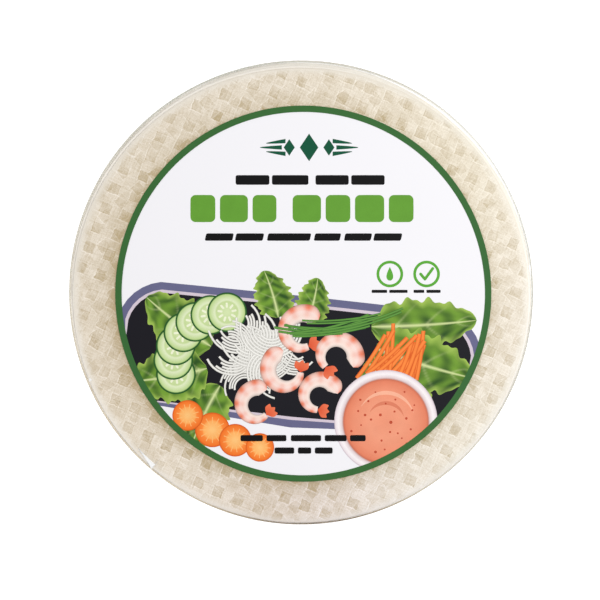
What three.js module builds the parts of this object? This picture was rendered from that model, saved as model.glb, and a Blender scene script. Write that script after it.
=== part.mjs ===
// A round pack of dried rice paper: a stack of thin, brittle, basket-marked sheets, shrunk tight into
// clear film, with a round paper label stuck on the upper face. It lies flat, label up.
// Millimetres, +Z up, origin at the middle of the base.

import * as THREE from 'three';

// ---- driving dimensions ----
const SHEET_DIAMETER = 220;        // every rice paper sheet, the pack's nominal size
const SHEET_COUNT = 25;            // about 10 g a sheet, 250 g in all
const SHEET_PITCH = 0.54;          // from one sheet to the next, with the marked relief between them
const FILM_THICKNESS = 0.05;
const PACK_DIAMETER = 225.2;       // over the film, at the belly of the side
const LABEL_DIAMETER = 182.2;
const LABEL_THICKNESS = 0.2;       // paper and its glue
const LABEL_OFFSET = [1.05, -0.6]; // the label is stuck on a little off centre, X and Y

// How the sheets lie off centre: the uppermost slid towards -Y, the lowest back and to the left.
const TOP_SHEET_SLIDE = [0, -1.45];
const BASE_SHEET_SLIDE = [-0.75, 0.85];

// The side of the pack bulges between its two rims as a flattened round. 2 would be an ellipse.
const RIM_CLEARANCE = 0.2;         // film bridging past the edge of the outermost sheet
const SIDE_SQUARENESS = 2.5;

// The heat seal runs half way up the side, along the back left, and ends in a folded ear each end.
const SEAL_START = THREE.MathUtils.degToRad(7.5);
const SEAL_END = THREE.MathUtils.degToRad(229.6);
const SEAL_HALF_HEIGHT = 0.55;
const SEAL_RECESS = 0.2;           // how far the film lies back on each side of the seal
const SEAL_FADE = THREE.MathUtils.degToRad(7);
const EAR_PROUD = 0.55;
const EAR_LENGTH = 13;             // along the rim, rising to the fold
const EAR_HALF_HEIGHT = 2.2;

// Fineness of the mesh.
const SEGMENTS = 150;              // round the pack
const SIDE_ROWS = 18;              // up the side, closer together towards the rims

// ---- sizes worked out from them ----
const PACK_HEIGHT = SHEET_COUNT * SHEET_PITCH + 2 * FILM_THICKNESS;
const HALF_HEIGHT = PACK_HEIGHT / 2;
const PACK_RADIUS = PACK_DIAMETER / 2;
const RIM_RADIUS = SHEET_DIAMETER / 2 + RIM_CLEARANCE;
const EAR_ANGLE = EAR_LENGTH / PACK_RADIUS;

/** How full the side is at a height: 0 at the rim of a flat face, 1 at the belly. */
function fullness(z) {
  const fromMiddle = Math.min(1, Math.abs(z - HALF_HEIGHT) / HALF_HEIGHT);
  return (1 - fromMiddle ** SIDE_SQUARENESS) ** (1 / SIDE_SQUARENESS);
}

/** Heights of the rings of the side from base to top, with three more rings on the seal. */
function ringHeights() {
  const heights = [];
  for (let i = 0; i <= SIDE_ROWS; i += 1) {
    const turn = Math.PI * (i / SIDE_ROWS - 0.5);
    const rise = Math.sign(turn) * Math.abs(Math.sin(turn)) ** (2 / SIDE_SQUARENESS);
    heights.push(HALF_HEIGHT * (1 + rise));
  }
  heights.push(HALF_HEIGHT - SEAL_HALF_HEIGHT, HALF_HEIGHT + SEAL_HALF_HEIGHT);
  return heights.sort((a, b) => a - b);
}

/** A turned solid about +Z, from a profile of [radius, height] that starts and ends on the axis. */
function turned(profile) {
  const outline = profile.map(([radius, height]) => new THREE.Vector2(radius, height));
  const geometry = new THREE.LatheGeometry(outline, SEGMENTS);
  geometry.rotateX(Math.PI / 2);
  return geometry;
}

/** The smooth step from 0 to 1 as x goes from low to high. */
function step(x, low, high) {
  return THREE.MathUtils.smoothstep(x, low, high);
}

/** How much of the seal there is at an angle round the pack: 0 outside it, 1 along its length. */
function sealAt(angle) {
  return step(angle, SEAL_START, SEAL_START + SEAL_FADE) * (1 - step(angle, SEAL_END - SEAL_FADE, SEAL_END));
}

/** Height of a folded ear: it rises along the seal to its fold, then falls away at once. */
function earAt(angle) {
  const pastStart = (angle - SEAL_START) / EAR_ANGLE;
  const beforeEnd = (SEAL_END - angle) / EAR_ANGLE;
  const rising = (x) => (x >= 0 && x <= 1 ? 1 - x : 0);
  return Math.max(rising(pastStart), rising(beforeEnd));
}

/** How far the film stands out from the plain turned side at a point of it. */
function sidePush(angle, z) {
  const fromSeal = Math.abs(z - HALF_HEIGHT);
  const onSeal = fromSeal < SEAL_HALF_HEIGHT / 2;
  const recess = onSeal ? 0 : SEAL_RECESS * sealAt(angle) * fullness(z);
  const ear = EAR_PROUD * earAt(angle) * (1 - step(fromSeal, 0, EAR_HALF_HEIGHT));
  return ear - recess;
}

/** The film envelope round the whole stack, one solid. */
function wrappedStackGeometry() {
  const side = ringHeights().map((z) => [RIM_RADIUS + (PACK_RADIUS - RIM_RADIUS) * fullness(z), z]);
  const geometry = turned([[0, 0], ...side, [0, PACK_HEIGHT]]);
  const position = geometry.getAttribute('position');
  const point = new THREE.Vector3();
  for (let i = 0; i < position.count; i += 1) {
    point.fromBufferAttribute(position, i);
    const radius = Math.hypot(point.x, point.y);
    const angle = (Math.atan2(point.y, point.x) + 2 * Math.PI) % (2 * Math.PI);
    const onSide = radius > RIM_RADIUS / 2;
    const grown = onSide ? 1 + sidePush(angle, point.z) / radius : 1;
    const slide = point.z > HALF_HEIGHT ? TOP_SHEET_SLIDE : BASE_SHEET_SLIDE;
    const share = 1 - fullness(point.z);
    position.setXYZ(
      i,
      point.x * grown + slide[0] * share,
      point.y * grown + slide[1] * share,
      point.z,
    );
  }
  geometry.computeVertexNormals();
  return geometry;
}

/** The printed round of paper, a plain disc. */
function labelGeometry() {
  const radius = LABEL_DIAMETER / 2;
  return turned([[0, 0], [radius, 0], [radius, LABEL_THICKNESS], [0, LABEL_THICKNESS]]);
}

const film = new THREE.MeshStandardMaterial({ color: 0xe2d7c5, roughness: 0.25, metalness: 0 });
const paper = new THREE.MeshStandardMaterial({ color: 0xf5f4fa, roughness: 0.6, metalness: 0 });

const wrappedStack = new THREE.Mesh(wrappedStackGeometry(), film);
wrappedStack.name = 'wrapped_stack';

const label = new THREE.Mesh(labelGeometry(), paper);
label.name = 'label';
label.position.set(LABEL_OFFSET[0], LABEL_OFFSET[1], PACK_HEIGHT);

const pack = new THREE.Group();
pack.add(wrappedStack, label);

export default pack;
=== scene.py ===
import math

import bmesh
import bpy
import numpy as np
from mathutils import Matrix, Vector


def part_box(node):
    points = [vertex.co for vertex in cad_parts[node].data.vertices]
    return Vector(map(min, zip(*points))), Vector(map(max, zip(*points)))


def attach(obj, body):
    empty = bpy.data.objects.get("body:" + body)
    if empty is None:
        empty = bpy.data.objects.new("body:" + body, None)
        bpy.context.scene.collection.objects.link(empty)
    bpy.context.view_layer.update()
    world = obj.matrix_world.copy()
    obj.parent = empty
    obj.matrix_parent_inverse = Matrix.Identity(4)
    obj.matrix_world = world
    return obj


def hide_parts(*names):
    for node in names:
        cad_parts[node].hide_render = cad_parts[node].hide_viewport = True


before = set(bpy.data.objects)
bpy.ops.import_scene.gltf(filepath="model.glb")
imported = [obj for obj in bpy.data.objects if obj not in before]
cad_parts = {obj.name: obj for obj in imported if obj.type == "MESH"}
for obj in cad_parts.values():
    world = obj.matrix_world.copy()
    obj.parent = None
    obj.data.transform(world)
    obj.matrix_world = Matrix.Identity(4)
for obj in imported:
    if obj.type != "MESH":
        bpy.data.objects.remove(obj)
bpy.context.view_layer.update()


# ---- The view ----------------------------------------------------------------------------------
# The pack lies label up and is looked at from straight above, with +Y at the top of the picture.
# A long lens from far off keeps its rim as round as it is.
pack_low, pack_high = (Vector(corner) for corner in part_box("wrapped_stack"))
view_width = 0.2906
view_centre = (-0.00055, -0.00369)
camera_above = 3.9
camera_sensor = 36.0


def linked(name, data):
    """A new object in the scene, of a mesh, a light or a camera."""
    item = bpy.data.objects.new(name, data)
    bpy.context.collection.objects.link(item)
    return item


camera_data = bpy.data.cameras.new("camera")
camera_data.sensor_width = camera_sensor
camera_data.lens = camera_sensor * camera_above / view_width
camera_data.clip_end = 20.0
camera = linked("camera", camera_data)
camera.location = (*view_centre, pack_high.z + camera_above)
bpy.context.scene.camera = camera
bpy.context.scene.view_settings.view_transform = "Standard"


# ---- The studio --------------------------------------------------------------------------------
# A pale table that is lit from below as well, so that the pack throws hardly any shadow on it, one
# large soft box above and to the right, a weaker one low at the left, and an even sky.
white = (1.0, 1.0, 1.0, 1.0)
table_size = 6.0
table_level = -0.0003
table_colour = (0.4, 0.4, 0.4, 1.0)
table_glow = 0.95
sky_strength = 0.55

half = table_size / 2
table_corners = ((-half, -half), (half, -half), (half, half), (-half, half))
table_mesh = bpy.data.meshes.new("table")
table_mesh.from_pydata([(x, y, table_level) for x, y in table_corners], [], [(0, 1, 2, 3)])
table_paint = bpy.data.materials.new("table_paint")
table_paint.use_nodes = True
table_shader = table_paint.node_tree.nodes["Principled BSDF"]
table_shader.inputs["Base Color"].default_value = table_colour
table_shader.inputs["Roughness"].default_value = 0.9
table_shader.inputs["Specular IOR Level"].default_value = 0.0
table_shader.inputs["Emission Color"].default_value = white
table_shader.inputs["Emission Strength"].default_value = table_glow
table_mesh.materials.append(table_paint)
linked("table", table_mesh)

sky = bpy.data.worlds.new("sky")
sky.use_nodes = True
bpy.context.scene.world = sky
sky_light = sky.node_tree.nodes["Background"]
sky_light.inputs["Color"].default_value = white
sky_light.inputs["Strength"].default_value = sky_strength

# Each soft box is (name, place, size, power), and faces the pack.
for name, place, size, power in (
    ("key_light", Vector((0.36, 0.09, 0.80)), 0.5, 3.8),
    ("fill_light", Vector((-1.1, 0.25, 0.3)), 0.6, 3.0),
):
    light_data = bpy.data.lights.new(name, "AREA")
    light_data.size = size
    light_data.energy = power
    light = linked(name, light_data)
    light.location = place
    light.rotation_euler = (-place).to_track_quat("-Z", "Y").to_euler()


# ---- The rice paper ----------------------------------------------------------------------------
# Rice starch spread thin and dried on a woven bamboo mat: a brittle, faintly translucent cream
# sheet. Where the mat was open the sheet has small square pits, which look deeper in colour. The
# pile is pressed together by its film, with its upper rim slid a little towards the front.
sheet_radius = 0.110
sheet_count = 25
sheet_thick = 0.00052
pile_gap = 0.00010
pile_low = pack_low.z + pile_gap
pile_high = pack_high.z - pile_gap
sheet_pitch = (pile_high - pile_low - sheet_thick) / (sheet_count - 1)
rim_drop = 0.00024
rim_reach = 0.0013
top_slide = (0.0, -0.00145)
label_low, label_high = (Vector(corner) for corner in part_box("label"))
label_centre = (label_low + label_high) / 2
label_radius = (label_high.x - label_low.x) / 2

# The marks of three sheets show, each as (turn, starting place, seed), those of the lower two by a
# share. The mat's strips sway and waver, and its pits are uneven, by shares of its pitch; a sway is
# (how fast, where it starts).
mat_pitch = 0.01043
mat_turn = math.radians(-23.55)
mat_at = (-0.00295, -0.01016, 0.0)
own_marks = (mat_turn, mat_at, 3.0)
second_marks = (math.radians(-49.65), (-0.0022, -0.00756, 0.0), 11.0)
third_marks = (math.radians(-20.7), (0.00629, -0.0041, 0.0), 23.0)
second_share = 0.62
third_share = 0.30
pit_half = 0.235
pit_jog = 0.022
pit_grow = 0.02
pit_blur = 0.022
strip_waver = 0.16
strip_sway = 0.022
sway_along = (1.7, 0.6)
sway_across = (1.9, 2.1)

# Tones are shares of the way from the deep cream to the pale one, before contrast. Pits, bands and
# edges each have a spread of tones. A line along a strip's edge is (how far past it, half its width).
pit_tone = -0.094
pit_shade_tilt = 0.14
pit_spread = 0.055
band_tone = 0.036
band_spread = 0.042
crossing_tone = -0.026
# Edge lines: the ridge's is partly a painted highlight, lighter on the lit side, and the line just inside
# the pit's wall is painted shade.
ridge_line = (0.030, 0.034)
ridge_and_highlight_tone = 0.085
ridge_light_tilt = -0.035
wall_shade_line = (-0.012, 0.030)
wall_shade_tone = -0.055
edge_spread = 0.055
crossed_share = 0.55
strand_tone = 0.40
speckle_tone = 0.42
cloud_tone = 0.20
spot_tone = -0.10
# The label's painted shadow on the uppermost sheet: a darker ring beside the label, slid to the front left.
label_shadow_slide = (-0.0016, -0.0013)
label_shadow_fade = 0.0045
label_shadow_depth = 0.30
label_shadow_most = 1.3
label_shadow_drop = 0.0020
smooth_rim = 0.0032
white_rim = 0.0045
tone_contrast = 1.49
tone_middle = 0.67
cream_deep = (0.530, 0.420, 0.254, 1.0)
cream_pale = (0.985, 0.912, 0.818, 1.0)


class Wire:
    """What a node puts out. Each + - * / or ** with another wire or a constant adds a node for it."""

    def __init__(self, wiring, socket):
        self.wiring, self.socket = wiring, socket

    def __add__(self, other):
        return self.wiring.reckon("ADD", self, other)

    def __sub__(self, other):
        return self.wiring.reckon("SUBTRACT", self, other)

    def __rsub__(self, other):
        return self.wiring.reckon("SUBTRACT", other, self)

    def __mul__(self, other):
        return self.wiring.reckon("MULTIPLY", self, other)

    def __truediv__(self, other):
        return self.wiring.reckon("DIVIDE", self, other)

    def __pow__(self, other):
        return self.wiring.reckon("POWER", self, other)


class Wiring:
    """Short words for building one node tree. Most add a node, feed it and return its wire."""

    def __init__(self, tree):
        self.nodes, self.links = tree.nodes, tree.links

    def feed(self, socket, value):
        if isinstance(value, Wire):
            self.links.new(value.socket, socket)
        else:
            socket.default_value = value

    def add(self, kind, *values, **named):
        """A new node. The values feed its open inputs in turn. A name that starts with a small letter
        is one of its settings, and one that starts with a capital is an input."""
        node = self.nodes.new(kind)
        for name, value in named.items():
            if name[0].islower():
                setattr(node, name, value)
            else:
                self.feed(node.inputs[name.replace("_", " ")], value)
        for socket, value in zip([socket for socket in node.inputs if socket.enabled], values):
            self.feed(socket, value)
        return node

    def wires(self, node):
        return [Wire(self, socket) for socket in node.outputs]

    def wire(self, kind, *values, out=None, **named):
        """The wire from a new node's output of some name, or else from its first open one."""
        outputs = self.add(kind, *values, **named).outputs
        return Wire(self, outputs[out] if out else next(socket for socket in outputs if socket.enabled))

    def math(self, operation, *values, **named):
        return self.wire("ShaderNodeMath", *values, operation=operation, **named)

    def vector(self, operation, *values):
        return self.wire("ShaderNodeVectorMath", *values, operation=operation)

    def reckon(self, operation, first, second):
        """Two values joined by one sign. A wire of numbers scales a wire of vectors."""
        kinds = [value.socket.type if isinstance(value, Wire) else type(value) for value in (first, second)]
        vectors = [kind in ("VECTOR", "RGBA", tuple) for kind in kinds]
        if all(vectors):
            return self.vector(operation, first, second)
        if any(vectors):
            return self.vector("SCALE", first, second)
        return self.math(operation, first, second)

    def split(self, vector):
        return self.wires(self.add("ShaderNodeSeparateXYZ", vector))

    def join(self, x, y, z=0.0):
        return self.wire("ShaderNodeCombineXYZ", x, y, z)

    def ramp(self, value, low, high, start=0.0, end=1.0):
        return self.wire("ShaderNodeMapRange", value, low, high, start, end, interpolation_type="SMOOTHSTEP")

    def mix(self, share, first, second):
        return self.wire("ShaderNodeMix", share, first, second, data_type="RGBA")

    def noise(self, vector, scale, detail):
        """Noise about 0, from -0.5 to 0.5."""
        return self.wire("ShaderNodeTexNoise", Vector=vector, Scale=scale, Detail=detail) - 0.5

    def random(self, x, y, z=0.0):
        """A random number from -1 to 1 for each whole-numbered place."""
        return self.wire("ShaderNodeTexWhiteNoise", Vector=self.join(x, y, z)) * 2.0 - 1.0


def new_tree(name, kind, inputs, outputs):
    """A node group, its wiring, the wires of its inputs by name, and the sockets of its outputs."""
    tree = bpy.data.node_groups.new(name, kind)
    for way, ends in (("INPUT", inputs), ("OUTPUT", outputs)):
        for label, socket_kind in ends.items():
            tree.interface.new_socket(label, in_out=way, socket_type="NodeSocket" + socket_kind)
    w = Wiring(tree)
    given = {wire.socket.name: wire for wire in w.wires(w.add("NodeGroupInput"))}
    return tree, w, given, w.add("NodeGroupOutput").inputs


def new_finish(name, **values):
    """A material, its wiring and its shader, with some of the shader's inputs set."""
    finish = bpy.data.materials.new(name)
    finish.use_nodes = True
    w = Wiring(finish.node_tree)
    shader = w.nodes["Principled BSDF"]
    for label, value in values.items():
        shader.inputs[label.replace("_", " ")].default_value = value
    return finish, w, shader


def mat_marks_tree():
    """Node group: the tone that the mat's weave gives a sheet at a place, about 0. A pit is deep in
    tone, with painted shade darker towards one side of it, and the bands between pits differ a little
    from one to the next. Thin pale ridges run along the edges, their painted highlight brightest on
    the side that the light falls on, with a line of painted shade just inside each edge."""
    inputs = {"Place": "Vector", "Turn": "Float", "Start": "Vector", "Seed": "Float"}
    outputs = {"Tone": "Float", "Along": "Float", "Across": "Float"}
    tree, w, given, result = new_tree("mat_marks", "ShaderNodeTree", inputs, outputs)
    place, seed = given["Place"], given["Seed"]
    turned = w.wire(
        "ShaderNodeVectorRotate",
        rotation_type="Z_AXIS",
        Vector=place - given["Start"],
        Angle=given["Turn"] * -1.0,
    )
    u, v, _ = w.split(turned * (1.0 / mat_pitch))
    sway_u = w.math("SINE", v * sway_along[0] + sway_along[1]) * strip_sway
    sway_v = w.math("SINE", u * sway_across[0] + sway_across[1]) * strip_sway
    u = u + sway_u + w.noise(place, 300.0, 2.0) * strip_waver
    v = v + sway_v + w.noise(place + (0.3, 0.2, 0.0), 340.0, 3.0) * strip_waver

    def from_pit(x, other, offset):
        """(number of the nearest pit, signed way from its middle, way past its edge, number of this
        strip): pits and bands are numbered in turn."""
        near = w.math("ROUND", x)
        row = w.math("ROUND", other)
        jog = w.random(near, row, seed + offset)
        grow = w.random(near, row, seed + (offset + 0.5))
        way = x - (jog * pit_jog + near)
        past = w.math("ABSOLUTE", way) - (grow * pit_grow + pit_half)
        beyond = w.math("SIGN", way) * w.math("GREATER_THAN", past, 0.0)
        return near, way, past, near * 2.0 + beyond

    def line(past, at, half_wide):
        """A soft line along a strip's edge."""
        return w.ramp(w.math("ABSOLUTE", past - at), half_wide, half_wide * 0.25)

    def edge_lines(near, way, past, other_past, other_number, offset):
        """The pale ridge just past a strip's edge, partly a painted highlight, and the painted shade of the
        pit's wall just inside it. Both are strong beside a pit, and weaker and now and then missing where
        the bands cross."""
        side = w.math("SIGN", way)
        which = near * 2.0 + side * 0.5
        luck = w.random(which, other_number, seed + offset)
        other_luck = w.random(which, other_number, seed + (offset + 0.5))
        pale = luck * edge_spread + side * ridge_light_tilt + ridge_and_highlight_tone
        deep = other_luck * -edge_spread + wall_shade_tone
        both = line(past, *ridge_line) * pale + line(past, *wall_shade_line) * deep
        return both * w.ramp(other_past, 0.10, 0.0, crossed_share, 1.0)

    near_u, way_u, past_u, number_u = from_pit(u, v, 1.0)
    near_v, way_v, past_v, number_v = from_pit(v, u, 2.0)
    crossing = w.ramp(w.math("MINIMUM", past_u, past_v), -0.01, 0.01)
    in_pit = w.ramp(w.math("MAXIMUM", past_u, past_v), pit_blur, -pit_blur)
    patch = w.random(number_u, number_v, seed)
    # Painted shade: each pit darker towards one side.
    pit = patch * pit_spread + way_v * pit_shade_tilt + pit_tone
    band = patch * band_spread + crossing * crossing_tone + band_tone
    tone = in_pit * pit + (1.0 - in_pit) * band
    tone = tone + edge_lines(near_u, way_u, past_u, past_v, number_v, 5.0)
    tone = tone + edge_lines(near_v, way_v, past_v, past_u, number_u, 6.0)
    w.feed(result["Tone"], tone)
    w.feed(result["Along"], u)
    w.feed(result["Across"], v)
    return tree


def rice_paper():
    """The sheets' finish: the mat's marks of the sheet and, fainter, of the two that show through it,
    with fine strands, specks and clouds. A painted shadow of the label darkens the ring of sheet
    beside it. Painted light makes the smooth rim a little lighter, the ledges lighter and the sheet
    lighter towards the right, with a darker, greyer patch at the front, and a painted glare of the
    film makes the rim more white."""
    paper, w, shader = new_finish("rice_paper", Roughness=0.55, Specular_IOR_Level=0.3)
    place = w.wire("ShaderNodeTexCoord", out="Object")
    x, y, z = w.split(place)
    flat = place * (1.0, 1.0, 0.0)
    marks = mat_marks_tree()

    def layer(turn, start, seed):
        """(tone, place along, place across) of one sheet's marks."""
        node = w.add("ShaderNodeGroup", node_tree=marks, Place=place, Turn=turn, Start=start, Seed=seed)
        return w.wires(node)

    def near(x, y, reach):
        """1 at a place of the sheet, falling softly to 0 beyond its reach."""
        away = w.vector("DISTANCE", flat, (x, y, 0.0)) / reach
        return w.math("EXPONENT", away ** 2.0 * -1.0)

    own, along, across = layer(*own_marks)
    woven = own + layer(*second_marks)[0] * second_share + layer(*third_marks)[0] * third_share
    strands = w.noise(w.join(along, across * 9.0), 1.7, 3.0) + w.noise(w.join(along * 9.0, across), 1.7, 3.0)
    speckle = w.noise(place, 1700.0, 2.0) * speckle_tone
    clouds = w.noise(place, 130.0, 2.0) * cloud_tone
    spots = w.ramp(w.noise(place, 620.0, 1.0), 0.17, 0.26) * spot_tone

    # Painted shadow of the label, on the uppermost sheet only.
    label_shadow_at = (label_centre.x + label_shadow_slide[0], label_centre.y + label_shadow_slide[1], pack_high.z)
    past_label = w.vector("DISTANCE", place, label_shadow_at) - label_radius
    label_shadow = w.math("MINIMUM", w.math("EXPONENT", past_label * (-1.0 / label_shadow_fade)), label_shadow_most) * -label_shadow_depth
    label_shadow = label_shadow * w.ramp(z, pile_high - label_shadow_drop, pile_high - label_shadow_drop / 2)
    out = w.vector("LENGTH", flat - (*top_slide, 0.0))
    plain = w.ramp(out, sheet_radius - smooth_rim, sheet_radius - 0.0004)
    ledge = w.ramp(out, sheet_radius + 0.0001, sheet_radius + 0.0005)
    on_face = w.ramp(out, sheet_radius - 0.0001, sheet_radius - 0.0009)

    front = near(-0.002, -0.113, 0.034)
    right = near(0.105, 0.010, 0.060)
    left = near(-0.090, -0.050, 0.060)
    back_right = near(0.075, 0.060, 0.060)
    # Painted light: the ledges of the sheets below are lighter, and so is the smooth rim, most at the left.
    rim = ledge * 0.14 + plain * (left * 0.10 + 0.07)
    # Painted light and shade: the sheet lighter towards the right and a little towards the front, with a
    # darker patch at the middle of the front.
    painted_lean = x * 0.50 + y * -0.33 + front * -0.14 + back_right * 0.015
    marked = (woven + strands * strand_tone) * on_face
    tone = (marked + speckle + clouds + spots) * (plain * -0.65 + 1.0)
    own_tone = w.random(w.math("ROUND", z / sheet_pitch), 0.5) * (ledge * 0.035)
    tone = tone + rim + label_shadow + painted_lean + own_tone
    cream = w.mix(tone * tone_contrast + tone_middle, cream_deep, cream_pale)

    # Painted light: a cooler, greyer cast at the front and a warmer one at the back right, and a painted
    # glare of the film that makes the rim more white and, at the right, brighter.
    rim_glare_white = w.ramp(out, sheet_radius - white_rim, sheet_radius + white_rim / 3)
    green = near(0.035, -0.094, 0.070) * 0.024 + rim_glare_white * 0.042 + 0.997
    blue = near(0.009, -0.097, 0.050) * 0.150 + back_right * -0.045 + rim_glare_white * 0.105 + 0.986
    right_glare = right * rim_glare_white * 0.09 + 1.0
    w.feed(shader.inputs["Base Color"], cream * w.join(1.0, green, blue) * right_glare)
    return paper


paper_finish = rice_paper()

# The mat pressed its weave into one face of each sheet: square pits one pitch apart, between bands
# that cross each other.
pit_soft = 0.035
crossing_dip = 0.3
relief_depth = 0.00014
relief_clear = 0.0030
rim_unevenness = 0.0004
rim_round = 0.0001


def step(x, low, high):
    """The smooth step from 0 to 1 as x goes from low to high."""
    t = np.clip((x - low) / (high - low), 0.0, 1.0)
    return t * t * (3.0 - 2.0 * t)


def towards(heading):
    """The unit vector in the plane of the sheets for each heading."""
    return np.stack([np.cos(heading), np.sin(heading)], axis=-1)


def all_round(count):
    """Some headings, evenly round the pack."""
    return np.linspace(0.0, 2.0 * math.pi, count, endpoint=False)


def raised(places, height):
    """Flat places as points at some heights."""
    return np.concatenate([places, np.broadcast_to(height, places.shape[:-1])[..., None]], axis=-1)


def grid_faces(rows, columns, closed=False):
    """The faces between rows of points that are numbered row by row. Closed rows run full round."""
    index = np.arange(rows * columns).reshape(rows, columns)
    here, ahead = (index, np.roll(index, -1, axis=1)) if closed else (index[:, :-1], index[:, 1:])
    return np.stack([here[:-1], ahead[:-1], ahead[1:], here[1:]], axis=-1).reshape(-1, 4)


def weave_height(x, y):
    """Height of the mat's relief at points of a sheet: 0 in a pit, 1 on a band."""
    x, y = x - mat_at[0], y - mat_at[1]
    u = (x * math.cos(mat_turn) + y * math.sin(mat_turn)) / mat_pitch
    v = (y * math.cos(mat_turn) - x * math.sin(mat_turn)) / mat_pitch
    swayed_u = u + strip_sway * np.sin(sway_along[0] * v + sway_along[1])
    swayed_v = v + strip_sway * np.sin(sway_across[0] * u + sway_across[1])
    past_u, past_v = (np.abs(way - np.round(way)) - pit_half for way in (swayed_u, swayed_v))
    band = step(np.maximum(past_u, past_v), -pit_soft, pit_soft)
    crossing = step(np.minimum(past_u, past_v), -pit_soft, pit_soft)
    return band * (1.0 - crossing_dip * crossing)


def skin_of_rings(name, rings, low_pole, high_pole):
    """A closed mesh through rings of points that run round +Z, from low_pole out and up to high_pole."""
    ring_size = len(rings[0])
    count = len(rings) * ring_size
    here = np.arange(ring_size)
    ahead = np.roll(here, -1)
    last = count - ring_size
    faces = grid_faces(len(rings), ring_size, closed=True).tolist()
    faces += np.column_stack([np.full(ring_size, count), ahead, here]).tolist()
    faces += np.column_stack([np.full(ring_size, count + 1), last + here, last + ahead]).tolist()
    mesh = bpy.data.meshes.new(name)
    mesh.from_pydata(np.concatenate([*rings, [low_pole, high_pole]]).tolist(), [], faces)
    mesh.shade_smooth()
    return mesh


def pressed_sheet(name, slide, level, facing, ring_step, ring_size, fine_from, seed):
    """One sheet whose outer face carries the mat's marks as real relief. facing is 1 for a marked
    upper face and -1 for a marked under face; level is the height of that face."""
    angle = all_round(ring_size)
    phases = np.random.default_rng(seed).uniform(0.0, 2.0 * math.pi, 6)
    uneven_rim = sum(np.sin(k * angle + phase) / k for k, phase in zip((3, 5, 8, 13, 21, 34), phases))
    rim = towards(angle) * (1.0 + uneven_rim * rim_unevenness)[:, None]
    rings = [
        raised((sheet_radius - rim_round) * rim, -sheet_thick),
        raised(sheet_radius * rim, rim_round - sheet_thick),
    ]
    rim_radii = sheet_radius - np.array([0.00003, 0.00015, 0.0003, 0.00045])
    for radius in np.append(rim_radii, np.arange(sheet_radius - 0.0006, fine_from, -ring_step)):
        inward = sheet_radius - radius
        sunk = weave_height(*(radius * rim + slide).T) - 1.0
        curl = -rim_drop * math.exp(-inward / rim_reach)
        rings.append(raised(radius * rim, relief_depth * sunk * step(inward, 0.0, relief_clear) + curl))
    mesh = skin_of_rings(name, rings, (0.0, 0.0, -sheet_thick), (0.0, 0.0, 0.0))
    places = np.empty(len(mesh.vertices) * 3)
    mesh.vertices.foreach_get("co", places)
    places = places.reshape(-1, 3) * (1.0, 1.0, facing) + (*slide, level)
    mesh.vertices.foreach_set("co", places.ravel())
    if facing < 0:
        mesh.flip_normals()
    mesh.update()
    mesh.materials.append(paper_finish)
    return linked(name, mesh)


# ---- The uppermost sheet -----------------------------------------------------------------------
# One whole sheet on top of the pile, slid a little to the front left. Its mat marks show all round
# the label, with those of the two sheets below it showing faintly through, each turned its own way.
sheet_slide = (-0.0005, -0.00145)
under_label = 0.004
sheet_top = pressed_sheet(
    "sheet_top", sheet_slide, pile_high, facing=1, ring_step=0.00041, ring_size=1480,
    fine_from=label_radius - under_label, seed=11,
)
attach(sheet_top, "root")


# ---- The lowest sheet --------------------------------------------------------------------------
# The same kind of sheet at the bottom of the pile, slid to the back left. Its face with the marks
# is the one that is seen, through the film on the underside of the pack.
base_slide = (-0.00075, 0.00085)
sheet_base = pressed_sheet(
    "sheet_base", base_slide, pile_low, facing=-1, ring_step=0.0010, ring_size=620, fine_from=0.002, seed=23
)
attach(sheet_base, "root")


# ---- The sheets between ------------------------------------------------------------------------
# The rest of the pile: loose thin sheets, each slid its own way under the film as far as the bulge
# of its side lets it, though never to the back right. Only their uneven edges show, all round.
film_radius = (pack_high.x - pack_low.x) / 2
half_height = (pack_high.z - pack_low.z) / 2
rim_radius = sheet_radius + 0.0002
side_squareness = 2.5
side_room = 0.0022
side_gap = 0.0001
golden_share = 0.618
first_share = 0.30
rough_rim = 0.0008
rough_lift = 0.0004


def between(w, low, high, seed):
    """A wire of random values from low to high, one for each point."""
    kind = "FLOAT_VECTOR" if isinstance(low, tuple) else "FLOAT"
    return w.wire("FunctionNodeRandomValue", low, high, data_type=kind, Seed=seed)


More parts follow.
